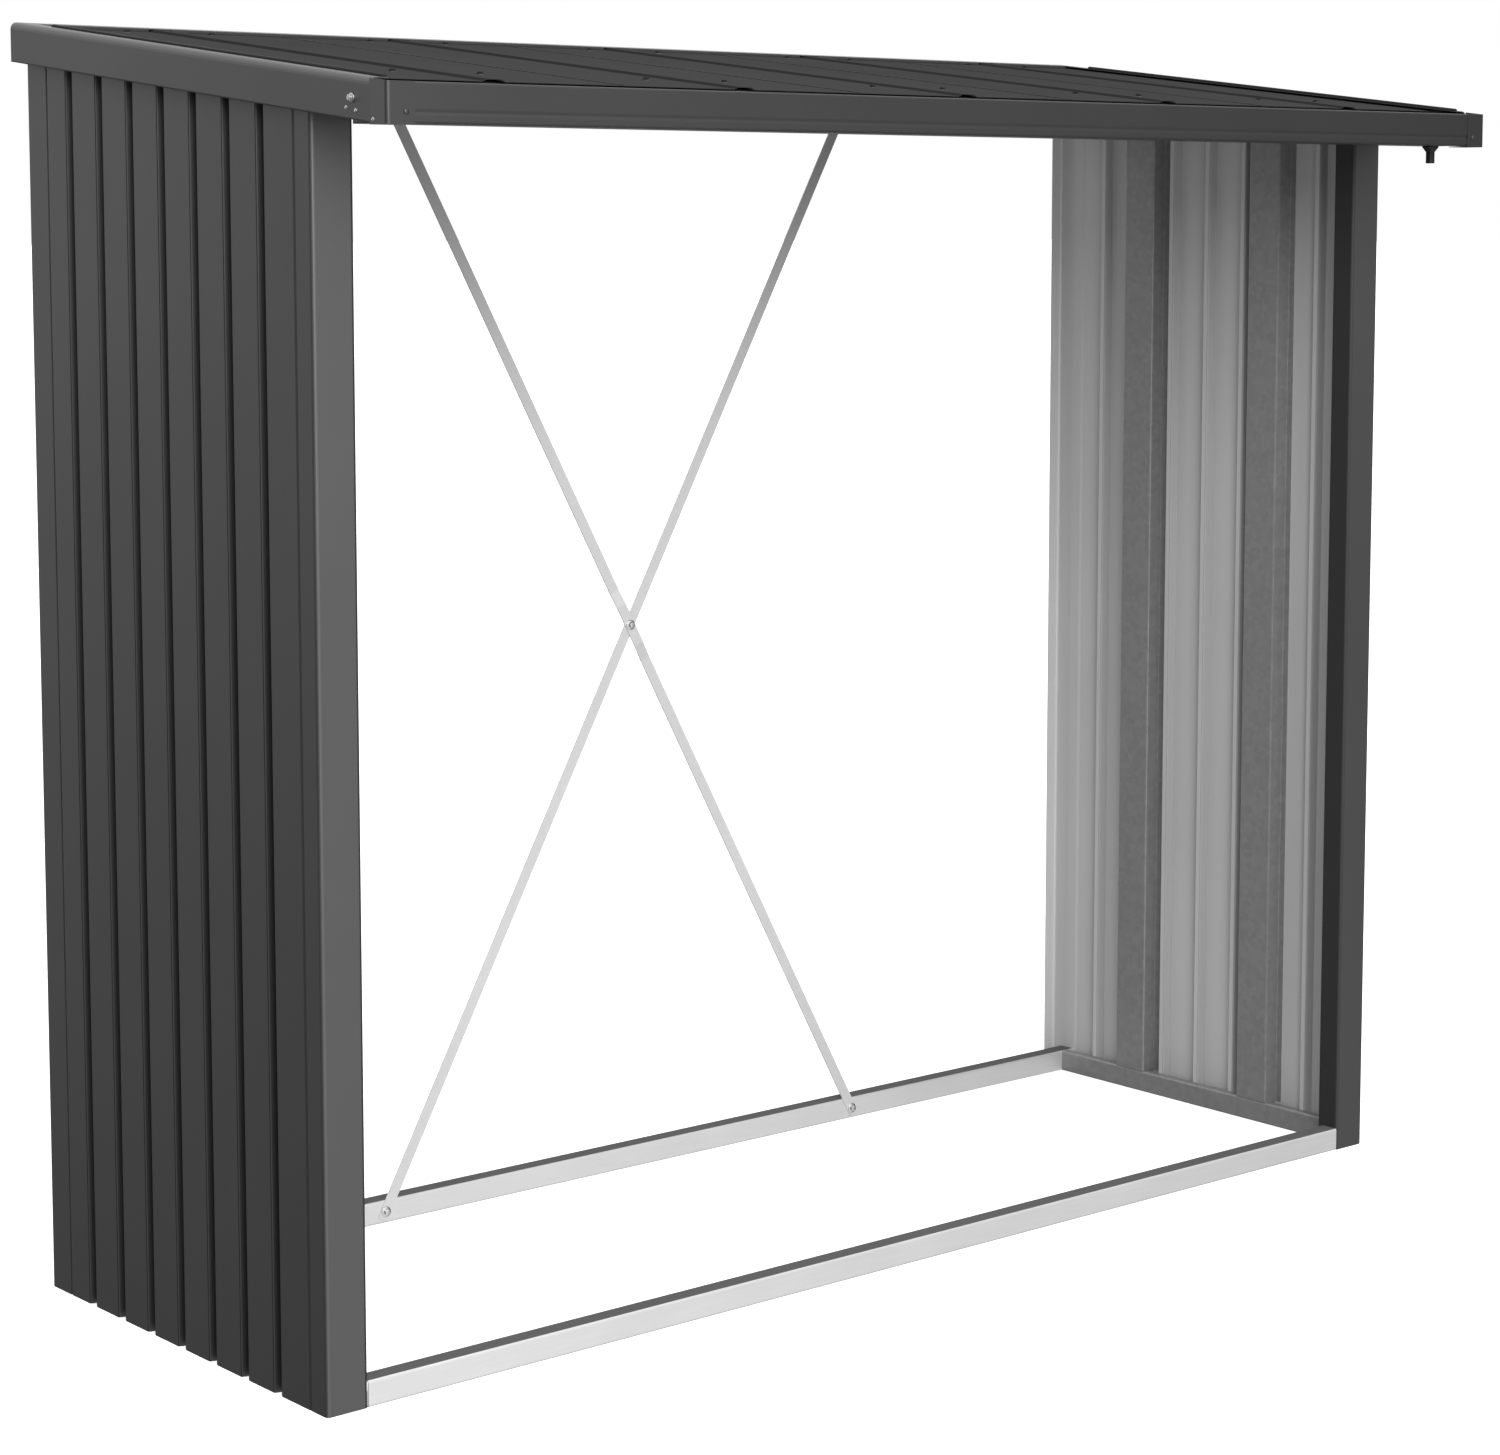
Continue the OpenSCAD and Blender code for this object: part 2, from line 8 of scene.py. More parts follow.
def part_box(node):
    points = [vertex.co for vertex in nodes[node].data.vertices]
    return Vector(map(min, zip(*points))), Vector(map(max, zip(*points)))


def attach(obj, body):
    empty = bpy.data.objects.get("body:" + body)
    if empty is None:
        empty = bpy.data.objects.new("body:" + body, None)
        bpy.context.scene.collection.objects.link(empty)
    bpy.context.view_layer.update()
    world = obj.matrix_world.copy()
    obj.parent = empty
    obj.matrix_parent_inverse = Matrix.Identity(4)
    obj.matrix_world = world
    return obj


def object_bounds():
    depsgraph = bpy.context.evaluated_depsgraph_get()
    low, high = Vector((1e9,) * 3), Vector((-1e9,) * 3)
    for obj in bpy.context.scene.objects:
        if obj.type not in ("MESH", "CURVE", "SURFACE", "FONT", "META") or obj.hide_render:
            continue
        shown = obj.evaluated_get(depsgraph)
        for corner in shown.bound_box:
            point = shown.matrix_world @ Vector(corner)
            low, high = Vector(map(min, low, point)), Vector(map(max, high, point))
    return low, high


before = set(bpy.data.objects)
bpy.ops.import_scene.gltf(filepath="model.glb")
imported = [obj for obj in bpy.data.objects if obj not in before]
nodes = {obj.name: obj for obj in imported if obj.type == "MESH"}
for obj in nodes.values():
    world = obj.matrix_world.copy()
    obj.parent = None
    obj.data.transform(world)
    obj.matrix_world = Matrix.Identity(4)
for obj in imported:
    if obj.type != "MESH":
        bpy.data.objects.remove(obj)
cad_low, cad_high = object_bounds()

MM = 0.001
OUT_LEFT = Vector((-1, 0, 0))
OUT_RIGHT = Vector((1, 0, 0))
OUT_FRONT = Vector((0, -1, 0))
OUT_BACK = Vector((0, 1, 0))
OUT_UP = Vector((0, 0, 1))
SIDES = ((-1, OUT_LEFT), (1, OUT_RIGHT))
# A normal that leans along an axis by more than this faces squarely that way
SQUARELY = 0.9

# The roof's own frame: its upper rear edge, and its fall towards the front
ROOF_REAR = Vector((0, cad_high.y, cad_high.z))
ROOF_PITCH = math.radians(6.6)
ROOF_UP = Vector((0, -math.sin(ROOF_PITCH), math.cos(ROOF_PITCH)))
ROOF_ALONG = Vector((0, math.cos(ROOF_PITCH), math.sin(ROOF_PITCH)))


def on_roof(x, along, up):
    """A point by its place across the roof, along the slope from the rear edge and above the upper plane."""
    return ROOF_REAR + Vector((x, 0, 0)) + along * ROOF_ALONG + up * ROOF_UP


# Camera: at the photograph's angle, a little below the height of the gutter
CAMERA_PLACE = (-3.688, -4.267, 1.690)
YAW = math.radians(40.11)
DIP = math.radians(5.99)
bpy.ops.object.camera_add(location=CAMERA_PLACE, rotation=(math.pi / 2 - DIP, 0, -YAW))
camera = bpy.context.object
camera.data.sensor_width = 36
camera.data.lens = 82.0
camera.data.shift_y = -0.10
bpy.context.scene.camera = camera
bpy.context.scene.view_settings.view_transform = "Standard"


# Materials
def linear(code):
    """An sRGB hex colour as linear RGBA."""
    parts = [int(code[i:i + 2], 16) / 255 for i in (1, 3, 5)]
    return [c / 12.92 if c <= 0.04045 else ((c + 0.055) / 1.055) ** 2.4 for c in parts] + [1.0]


def put(tree, kind, settings=None, links=None):
    """Adds a node. A setting is an input's value or an attribute, and a link joins an output to an input."""
    node = tree.nodes.new(kind)
    for key, value in (settings or {}).items():
        if isinstance(key, int) or key in node.inputs:
            node.inputs[key].default_value = value
        else:
            setattr(node, key, value)
    for key, source in (links or {}).items():
        tree.links.new(source, node.inputs[key])
    return node


def new_material(name):
    """An empty node material with its output, and the place on the object that its patterns follow."""
    material = bpy.data.materials.new(name)
    material.use_nodes = True
    tree = material.node_tree
    tree.nodes.clear()
    output = put(tree, "ShaderNodeOutputMaterial")
    place = put(tree, "ShaderNodeTexCoord").outputs["Object"]
    return material, tree, output, place


def per_metre(size_mm):
    """The scale of a pattern whose cells are so many millimetres across."""
    return 1 / (size_mm * MM)


# Sockets of the Mix node when it mixes colours
FACTOR, COLOUR_A, COLOUR_B, MIXED = 0, 6, 7, 2

# The coil coat: tones of its face and back, its share of metal flake, and its roughness from least to most
COAT_TONES = ("#515151", "#616161")
BACK_TONES = ("#b2b2b2", "#c8c8c8")
GUTTER_TONES = ("#3f3f3f", "#4c4c4c")
FLAKE = 0.8
SATIN = 0.36
ROUGH_SPREAD = 0.12
FLAKE_MM = 2.0
BACK_GRIT_MM = 3.0


def coat_layers(tree, place, tones, grit_mm, rough):
    """Colour, roughness and normal of a coil coat: soft clouds, a fine grain and a faint orange peel."""
    dark, light = tones
    clouds = put(tree, "ShaderNodeTexNoise", {"Scale": per_metre(420), "Detail": 3.0, "Roughness": 0.55},
                 {"Vector": place})
    grain = put(tree, "ShaderNodeTexNoise", {"Scale": per_metre(grit_mm), "Detail": 2.0}, {"Vector": place})
    soft = put(tree, "ShaderNodeMath", {"operation": "MULTIPLY", 1: 0.65}, {0: clouds.outputs["Fac"]})
    blend = put(tree, "ShaderNodeMath", {"operation": "MULTIPLY_ADD", 1: 0.35},
                {0: grain.outputs["Fac"], 2: soft.outputs[0]})
    colour = put(tree, "ShaderNodeMix",
                 {"data_type": "RGBA", COLOUR_A: linear(dark), COLOUR_B: linear(light)},
                 {FACTOR: blend.outputs[0]})
    roughness = put(tree, "ShaderNodeMapRange", {"To Min": rough, "To Max": rough + ROUGH_SPREAD},
                    {"Value": grain.outputs["Fac"]})
    peel = put(tree, "ShaderNodeTexNoise", {"Scale": per_metre(5), "Detail": 1.0}, {"Vector": place})
    bump = put(tree, "ShaderNodeBump", {"Strength": 0.06, "Distance": 0.3 * MM},
               {"Height": peel.outputs["Fac"]})
    return colour.outputs[MIXED], roughness.outputs["Result"], bump.outputs["Normal"]


def paint_side_light_and_shade(tree, colour, axis, lean, tone):
    """The colour, with painted light and shade where the surface leans along an axis by more than so much.
    """
    normal = put(tree, "ShaderNodeNewGeometry").outputs["True Normal"]
    facing = put(tree, "ShaderNodeSeparateXYZ", {}, {0: normal})
    sideways = put(tree, "ShaderNodeMath", {"operation": "ABSOLUTE"}, {0: facing.outputs[axis]})
    painted_side = put(tree, "ShaderNodeMath", {"operation": "GREATER_THAN", 1: lean}, {0: sideways.outputs[0]})
    toned = put(tree, "ShaderNodeMix", {"data_type": "RGBA", COLOUR_B: linear(tone)},
                {FACTOR: painted_side.outputs[0], COLOUR_A: colour})
    return toned.outputs[MIXED]


def dark_metallic_coat(name, tones, painted_end_light=None):
    """Dark grey metallic polyester on galvanised sheet: a satin face whose fine flake lifts the tone where
    light strikes it. The flake is drawn 2 mm across, far coarser than it is, so that it shows. On the
    gutter's caps the end plates get painted light: the fascias' lighter tone, by the way they face."""
    material, tree, output, place = new_material(name)
    colour, roughness, normal = coat_layers(tree, place, tones, FLAKE_MM, SATIN)
    # Painted light: faces that turn squarely along X, the caps' end plates, get a lighter tone
    if painted_end_light:
        colour = paint_side_light_and_shade(tree, colour, "X", SQUARELY, painted_end_light)
    shader = put(tree, "ShaderNodeBsdfPrincipled", {"Metallic": FLAKE, "IOR": 1.5},
                 {"Base Color": colour, "Roughness": roughness, "Normal": normal})
    tree.links.new(shader.outputs[0], output.inputs["Surface"])
    return material


def two_sided_sheet(name, inside_test, tones=COAT_TONES, back_tones=BACK_TONES, painted_side=None, back_painted_side=None,
                    metallic=FLAKE, gloss=0.5, rough=SATIN):
    """Coil-coated steel sheet: the dark metallic coat outside, and inside the back coat that such steel is
    given, duller and a little mottled, light grey, but near black on the front posts as painted shade. A
    painted side is an axis, a lean and a tone: the sides of the walls' grooves and the roof's ribs are
    a shade darker, painted shade in these creases so that they read as lines from afar."""
    material, tree, output, place = new_material(name)
    colour, roughness, normal = coat_layers(tree, place, tones, FLAKE_MM, rough)
    # Painted shade: the sides of grooves and ribs take a darker tone outside
    if painted_side:
        colour = paint_side_light_and_shade(tree, colour, *painted_side)
    back, back_roughness, back_normal = coat_layers(tree, place, back_tones, BACK_GRIT_MM, 0.5)
    # Painted shade: inside, the sides of the grooves take a darker back tone
    if back_painted_side:
        back = paint_side_light_and_shade(tree, back, *back_painted_side)
    outer = put(tree, "ShaderNodeBsdfPrincipled",
                {"Metallic": metallic, "IOR": 1.5, "Specular IOR Level": gloss},
                {"Base Color": colour, "Roughness": roughness, "Normal": normal})
    inner = put(tree, "ShaderNodeBsdfPrincipled", {"Metallic": 0.15, "IOR": 1.5},
                {"Base Color": back, "Roughness": back_roughness, "Normal": back_normal})
    mix = put(tree, "ShaderNodeMixShader", {},
              {0: inside_test(tree, place), 1: outer.outputs[0], 2: inner.outputs[0]})
    tree.links.new(mix.outputs[0], output.inputs["Surface"])
    return material


def faces_in(tree, place):
    """1 where a wall's surface faces the logs: its normal points against its own side of the store."""
    side = put(tree, "ShaderNodeSeparateXYZ", {}, {0: place})
    normal = put(tree, "ShaderNodeNewGeometry").outputs["True Normal"]
    facing = put(tree, "ShaderNodeSeparateXYZ", {}, {0: normal})
    product = put(tree, "ShaderNodeMath", {"operation": "MULTIPLY"},
                  {0: side.outputs["X"], 1: facing.outputs["X"]})
    inwards = put(tree, "ShaderNodeMath", {"operation": "LESS_THAN", 1: -0.05}, {0: product.outputs[0]})
    return inwards.outputs[0]


# Half the distance between the legs of the rear posts, a little inside them
REAR_LEG_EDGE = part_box("rear_right_post")[1].x - 3.5 * MM


def faces_corner(tree, place):
    """1 inside a rear post: on its leg, and on the front of its flange, further in than the leg's edge."""
    normal = put(tree, "ShaderNodeNewGeometry").outputs["True Normal"]
    facing = put(tree, "ShaderNodeSeparateXYZ", {}, {0: normal})
    front = put(tree, "ShaderNodeMath", {"operation": "LESS_THAN", 1: -0.5}, {0: facing.outputs["Y"]})
    across = put(tree, "ShaderNodeSeparateXYZ", {}, {0: place})
    side = put(tree, "ShaderNodeMath", {"operation": "ABSOLUTE"}, {0: across.outputs["X"]})
    further_in = put(tree, "ShaderNodeMath", {"operation": "LESS_THAN", 1: REAR_LEG_EDGE},
                     {0: side.outputs[0]})
    flange = put(tree, "ShaderNodeMath", {"operation": "MULTIPLY"},
                 {0: front.outputs[0], 1: further_in.outputs[0]})
    inside = put(tree, "ShaderNodeMath", {"operation": "MAXIMUM"},
                 {0: flange.outputs[0], 1: faces_in(tree, place)})
    return inside.outputs[0]


def faces_down(tree, place):
    """1 on the underside of the roof, wherever it is."""
    normal = put(tree, "ShaderNodeNewGeometry").outputs["True Normal"]
    facing = put(tree, "ShaderNodeSeparateXYZ", {}, {0: normal})
    down = put(tree, "ShaderNodeMath", {"operation": "LESS_THAN", 1: -0.3}, {0: facing.outputs["Z"]})
    return down.outputs[0]


def spangled_zinc():
    """Hot-dip galvanised steel: dull grey, with zinc crystals some 10 mm across that differ in shade."""
    material, tree, output, place = new_material("galvanised_steel_spangled")
    spangle = put(tree, "ShaderNodeTexVoronoi", {"Scale": per_metre(10)}, {"Vector": place})
    shade = put(tree, "ShaderNodeSeparateColor", {}, {0: spangle.outputs["Color"]})
    colour = put(tree, "ShaderNodeMix",
                 {"data_type": "RGBA", COLOUR_A: linear("#8b8b8b"), COLOUR_B: linear("#949494")},
                 {FACTOR: shade.outputs[0]})
    roughness = put(tree, "ShaderNodeMapRange", {"To Min": 0.42, "To Max": 0.56},
                    {"Value": shade.outputs[1]})
    shader = put(tree, "ShaderNodeBsdfPrincipled", {"Metallic": 0.55, "IOR": 1.5},
                 {"Base Color": colour.outputs[MIXED], "Roughness": roughness.outputs["Result"]})
    tree.links.new(shader.outputs[0], output.inputs["Surface"])
    return material


def mill_finish(tree, place, tones, lines):
    """Colour, roughness and normal of mill-finish aluminium: pale and satin, with rolling lines along the
    strip. They are drawn 1.5 mm apart, coarser than they are, so that they show."""
    dark, light = tones
    stretched = put(tree, "ShaderNodeMapping", {"Scale": lines}, {"Vector": place})
    streaks = put(tree, "ShaderNodeTexNoise", {"Scale": per_metre(1.5), "Detail": 2.0},
                  {"Vector": stretched.outputs[0]})
    clouds = put(tree, "ShaderNodeTexNoise", {"Scale": per_metre(180), "Detail": 2.0}, {"Vector": place})
    both = put(tree, "ShaderNodeMath", {"operation": "MULTIPLY"},
               {0: streaks.outputs["Fac"], 1: clouds.outputs["Fac"]})
    colour = put(tree, "ShaderNodeMix",
                 {"data_type": "RGBA", COLOUR_A: linear(dark), COLOUR_B: linear(light)},
                 {FACTOR: both.outputs[0]})
    roughness = put(tree, "ShaderNodeMapRange", {"To Min": 0.34, "To Max": 0.5},
                    {"Value": streaks.outputs["Fac"]})
    bump = put(tree, "ShaderNodeBump", {"Strength": 0.08, "Distance": 0.2 * MM},
               {"Height": streaks.outputs["Fac"]})
    return colour.outputs[MIXED], roughness.outputs["Result"], bump.outputs["Normal"]


# How much of mill-finish aluminium looks like bare metal
MILL_METAL = 0.6


def floor_rail_aluminium():
    """The floor rails: mill-finish aluminium, with the level top face of the flange dark grey and dull."""
    material, tree, output, place = new_material("floor_rail_mill_aluminium")
    colour, roughness, normal = mill_finish(tree, place, ("#cacaca", "#e1e1e1"), (0.02, 1, 1))
    bare = put(tree, "ShaderNodeBsdfPrincipled", {"Metallic": MILL_METAL},
               {"Base Color": colour, "Roughness": roughness, "Normal": normal})
    # The level top faces above 30 mm take the dark coat's tones, with no specular
    coat, coat_roughness, coat_normal = coat_layers(tree, place, COAT_TONES, FLAKE_MM, 0.6)
    top = put(tree, "ShaderNodeBsdfPrincipled", {"Specular IOR Level": 0.0},
              {"Base Color": coat, "Roughness": coat_roughness, "Normal": coat_normal})
    height = put(tree, "ShaderNodeSeparateXYZ", {}, {0: place})
    upper = put(tree, "ShaderNodeMath", {"operation": "GREATER_THAN", 1: 30 * MM}, {0: height.outputs["Z"]})
    up = put(tree, "ShaderNodeNewGeometry").outputs["True Normal"]
    facing = put(tree, "ShaderNodeSeparateXYZ", {}, {0: up})
    level = put(tree, "ShaderNodeMath", {"operation": "GREATER_THAN", 1: 0.75}, {0: facing.outputs["Z"]})
    flange = put(tree, "ShaderNodeMath", {"operation": "MULTIPLY"},
                 {0: upper.outputs[0], 1: level.outputs[0]})
    mix = put(tree, "ShaderNodeMixShader", {},
              {0: flange.outputs[0], 1: bare.outputs[0], 2: top.outputs[0]})
    tree.links.new(mix.outputs[0], output.inputs["Surface"])
    return material


def brace_strap_aluminium():
    """The brace straps: mill-finish aluminium, with painted shade from 1.25 m up, where the roof shades
    them.
    """
    material, tree, output, place = new_material("brace_strap_mill_aluminium")
    colour, roughness, normal = mill_finish(tree, place, ("#cacaca", "#dfdfdf"), (0.3, 1, 0.3))
    height = put(tree, "ShaderNodeSeparateXYZ", {}, {0: place})
    # Painted shade: from 1.25 m to 1.9 m up the colour darkens to a mid grey
    painted_roof_shade = put(tree, "ShaderNodeMapRange",
               {"interpolation_type": "SMOOTHSTEP", "From Min": 1.25, "From Max": 1.9},
               {"Value": height.outputs["Z"]})
    shaded = put(tree, "ShaderNodeMix", {"data_type": "RGBA", COLOUR_B: linear("#909090")},
                 {FACTOR: painted_roof_shade.outputs["Result"], COLOUR_A: colour})
    shader = put(tree, "ShaderNodeBsdfPrincipled", {"Metallic": MILL_METAL},
                 {"Base Color": shaded.outputs[MIXED], "Roughness": roughness, "Normal": normal})
    tree.links.new(shader.outputs[0], output.inputs["Surface"])
    return material


def zinc_plate():
    """Bright zinc plate on the bolts and screws: a smooth pale metal with a faint mottle from the bath."""
    material, tree, output, place = new_material("zinc_plated_steel")
    mottle = put(tree, "ShaderNodeTexNoise", {"Scale": per_metre(3), "Detail": 2.0}, {"Vector": place})
    colour = put(tree, "ShaderNodeMix",
                 {"data_type": "RGBA", COLOUR_A: linear("#acacac"), COLOUR_B: linear("#d1d1d1")},
                 {FACTOR: mottle.outputs["Fac"]})
    roughness = put(tree, "ShaderNodeMapRange", {"To Min": 0.25, "To Max": 0.4},
                    {"Value": mottle.outputs["Fac"]})
    shader = put(tree, "ShaderNodeBsdfPrincipled", {"Metallic": 1.0},
                 {"Base Color": colour.outputs[MIXED], "Roughness": roughness.outputs["Result"]})
    tree.links.new(shader.outputs[0], output.inputs["Surface"])
    return material


def dark_moulding(name, tones, grain_mm, rough):
    """Polypropylene, rubber or foam from a mould: near black or dark grey, dull, with a fine grain."""
    dark, light = tones
    material, tree, output, place = new_material(name)
    grain = put(tree, "ShaderNodeTexNoise", {"Scale": per_metre(grain_mm), "Detail": 2.0}, {"Vector": place})
    colour = put(tree, "ShaderNodeMix",
                 {"data_type": "RGBA", COLOUR_A: linear(dark), COLOUR_B: linear(light)},
                 {FACTOR: grain.outputs["Fac"]})
    roughness = put(tree, "ShaderNodeMapRange", {"To Min": rough - 0.06, "To Max": rough + 0.06},
                    {"Value": grain.outputs["Fac"]})
    bump = put(tree, "ShaderNodeBump", {"Strength": 0.15, "Distance": 0.2 * MM},
               {"Height": grain.outputs["Fac"]})
    shader = put(tree, "ShaderNodeBsdfPrincipled", {"IOR": 1.49, "Specular IOR Level": 0.25},
                 {"Base Color": colour.outputs[MIXED], "Roughness": roughness.outputs["Result"],
                  "Normal": bump.outputs["Normal"]})
    tree.links.new(shader.outputs[0], output.inputs["Surface"])
    return material


COAT = dark_metallic_coat("dark_metallic_coil_coat", COAT_TONES)
GUTTER_COAT = dark_metallic_coat("gutter_dark_metallic_coat", GUTTER_TONES)
# Painted light: the caps' end plates are lighter than the caps' fronts, though both are one coat
CAP_COAT = dark_metallic_coat("cap_dark_metallic_coat", GUTTER_TONES, painted_end_light="#5e5e5e")
# Painted shade: the sides of the walls' grooves are darker, outside and inside
WALL_SHEET = two_sided_sheet("wall_sheet_coil_coat", faces_in, painted_side=("Y", 0.3, "#3b3b3b"),
                             back_painted_side=("Y", 0.3, "#9a9a9a"))
# Painted shade: the front posts' faces that turn into the store are near black
FRONT_POST = two_sided_sheet("front_post_coil_coat", faces_in, back_tones=("#1f1f1f", "#2a2a2a"))
REAR_POST = two_sided_sheet("rear_post_coil_coat", faces_corner)
# Painted shade: the sides of the roof sheets' ribs are darker
ROOF_SHEET = two_sided_sheet("roof_sheet_matt_coil_coat", faces_down, ("#363636", "#404040"),
                             painted_side=("X", 0.1, "#272727"), metallic=0.0, gloss=0.0, rough=0.7)
ZINC_SHEET = spangled_zinc()
RAIL = floor_rail_aluminium()
STRAP = brace_strap_aluminium()
ZINC = zinc_plate()
PLASTIC = dark_moulding("black_moulded_polypropylene", ("#131313", "#1f1f1f"), 0.8, 0.48)
RUBBER = dark_moulding("black_sealing_rubber", ("#141414", "#202020"), 1.2, 0.7)
FOAM = dark_moulding("grey_closed_cell_foam", ("#343434", "#404040"), 2.0, 0.85)

ROOF_SHEETS = 5
FINISHES = {
    COAT: ["left_roof_fascia", "right_roof_fascia", "rear_roof_fascia"],
    FRONT_POST: ["front_left_post", "front_right_post"],
    GUTTER_COAT: ["gutter_face", "gutter_floor", "gutter_back_wall"],
    CAP_COAT: ["left_gutter_cap", "right_gutter_cap"],
    REAR_POST: ["rear_left_post", "rear_right_post"],
    WALL_SHEET: ["left_wall_sheet", "right_wall_sheet"],
    ROOF_SHEET: [f"roof_sheet_{i + 1}" for i in range(ROOF_SHEETS)],
    ZINC_SHEET: ["left_floor_rail", "right_floor_rail", "left_front_upright", "left_rear_upright",
                 "right_front_upright", "right_rear_upright", "left_wall_top_rail", "right_wall_top_rail",
                 "front_top_beam", "rear_top_beam"],
    RAIL: ["front_floor_rail", "rear_floor_rail"],
    STRAP: ["rising_brace_strap", "falling_brace_strap"],
    PLASTIC: ["gutter_spigot"],
}
for finish, names in FINISHES.items():
    for name in names:
        nodes[name].data.materials.clear()
        nodes[name].data.materials.append(finish)


# Modelling
def clear_selection():
    bpy.ops.object.select_all(action="DESELECT")


def choose(piece):
    """Selects one piece alone and makes it the active one."""
    clear_selection()
    piece.select_set(True)
    bpy.context.view_layer.objects.active = piece


def choose_faces(piece, test):
    """In edit mode, selects the faces whose middle and normal pass a test."""
    mesh = bmesh.from_edit_mesh(piece.data)
    for face in mesh.faces:
        face.select = test(face.calc_center_median(), face.normal)
    mesh.select_flush_mode()
    bmesh.update_edit_mesh(piece.data)


def choose_top(piece):
    choose_faces(piece, lambda middle, normal: normal.z > SQUARELY)


def edit(piece):
    choose(piece)
    bpy.ops.object.mode_set(mode="EDIT")
    bpy.ops.mesh.select_mode(type="FACE")


def leave_edit():
    bpy.ops.object.mode_set(mode="OBJECT")


def join(pieces, name):
    choose(pieces[0])
    for piece in pieces:
        piece.select_set(True)
    bpy.ops.object.join()
    joined = bpy.context.object
    joined.name = joined.data.name = name
    return joined


def soften(piece, width):
    """Puts a piece's place into its mesh, rounds its edges with an applied bevel and smooths its shading."""
    choose(piece)
    bpy.ops.object.transform_apply(location=True, rotation=True, scale=True)
    bevel = piece.modifiers.new("edges", "BEVEL")
    bevel.width = width
    bevel.segments = 2
    bevel.limit_method = "ANGLE"
    bpy.ops.object.modifier_apply(modifier=bevel.name)
    bpy.ops.object.shade_smooth_by_angle(angle=math.radians(35))


def finish_piece(piece, material):
    """Gives a piece its material and slot, and fixes it to the store."""
    piece.data.materials.clear()
    piece.data.materials.append(material)
    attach(piece, "root")


# Shapes of the fasteners, as shares of their own sizes
WASHER_SLOPE = 0.32
WASHER_RISE = 0.5
CHAMFER_IN = 0.06
CHAMFER_RISE = 0.1
RIVET_RIM = 0.4
# Insets of a rivet's head, inwards by a share of its width and up by a share of its rise
SHOULDER = (0.14, 0.4)
CROWN = (0.16, 0.2)
DIMPLE = (0.03, -0.25)


def hex_head(across_mm, head_mm, washer_mm, washer_t_mm):
    """A hexagon head on a domed washer, standing on the ground plane and pointing up."""
    head = head_mm * MM
    washer_t = washer_t_mm * MM
    clear_selection()
    bpy.ops.mesh.primitive_cylinder_add(vertices=20, radius=washer_mm / 2 * MM, depth=washer_t,
                                        location=(0, 0, washer_t / 2))
    washer = bpy.context.object
    edit(washer)
    choose_top(washer)
    bpy.ops.mesh.inset(thickness=(washer_mm - across_mm) * WASHER_SLOPE * MM, depth=washer_t * WASHER_RISE)
    leave_edit()
    clear_selection()
    bpy.ops.mesh.primitive_cylinder_add(vertices=6, radius=across_mm / math.sqrt(3) * MM, depth=head,
                                        location=(0, 0, washer_t + head / 2))
    hexagon = bpy.context.object
    edit(hexagon)
    choose_top(hexagon)
    bpy.ops.mesh.inset(thickness=across_mm * CHAMFER_IN * MM, depth=head * CHAMFER_RISE)
    leave_edit()
    screw = join([washer, hexagon], "hex_head")
    soften(screw, 0.25 * MM)
    return screw


def rivet_head(across_mm, rise_mm):
    """A low domed rivet head with the pull stem's dimple in its middle."""
    across = across_mm * MM
    rise = rise_mm * MM
    clear_selection()
    bpy.ops.mesh.primitive_cylinder_add(vertices=16, radius=across / 2, depth=rise * RIVET_RIM,
                                        location=(0, 0, rise * RIVET_RIM / 2))
    rivet = bpy.context.object
    edit(rivet)
    choose_top(rivet)
    for inwards, upwards in (SHOULDER, CROWN, DIMPLE):
        bpy.ops.mesh.inset(thickness=across * inwards, depth=rise * upwards)
    leave_edit()
    rivet.name = "rivet_head"
    soften(rivet, 0.1 * MM)
    return rivet


def set_row(name, pattern, places, material):
    """Copies a fastener to each place, standing on the surface there, and joins the row into one piece."""
    copies = []
    for point, outward in places:
        copy = pattern.copy()
        copy.data = pattern.data.copy()
        bpy.context.collection.objects.link(copy)
        turn = OUT_UP.rotation_difference(outward).to_matrix().to_4x4()
        copy.data.transform(Matrix.Translation(point) @ turn)
        copies.append(copy)
    finish_piece(join(copies, name), material)


def bar_on_roof(x, ends, up, width, height):
    """A bar in the roof's slope, by its place across and above the roof and its two ends along the slope."""
    clear_selection()
    bpy.ops.mesh.primitive_cube_add(size=1, location=on_roof(x, sum(ends) / 2, up),
                                    rotation=(ROOF_PITCH, 0, 0), scale=(width, ends[1] - ends[0], height))
    bpy.ops.object.transform_apply(location=True, rotation=True, scale=True)
    return bpy.context.object


# Planes and edges of the CAD part that the pieces are set by
wall_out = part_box("right_wall_sheet")[1].x
fascia_out = cad_high.x
cap_front = cad_low.y
gutter_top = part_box("gutter_face")[1].z
strap_low, strap_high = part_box("rising_brace_strap")
strap_mid_z = (strap_low.z + strap_high.z) / 2
# Sizes that the CAD part has too
STRAP_X = 528 * MM
RAIL_SHEET = 2 * MM
BEAM_SHEET = 1.5 * MM
FASCIA_FLANGE = 30 * MM
ROOF_RECESS = 5 * MM
SHEET_PITCH = 2 * wall_out / ROOF_SHEETS

cap_rivet = rivet_head(8, 2.4)
small_rivet = rivet_head(6, 1.8)
roof_screw = hex_head(7, 2.5, 12, 1)
fascia_screw = hex_head(8, 4, 13, 1.6)
brace_bolt = hex_head(10, 5, 18, 1.6)

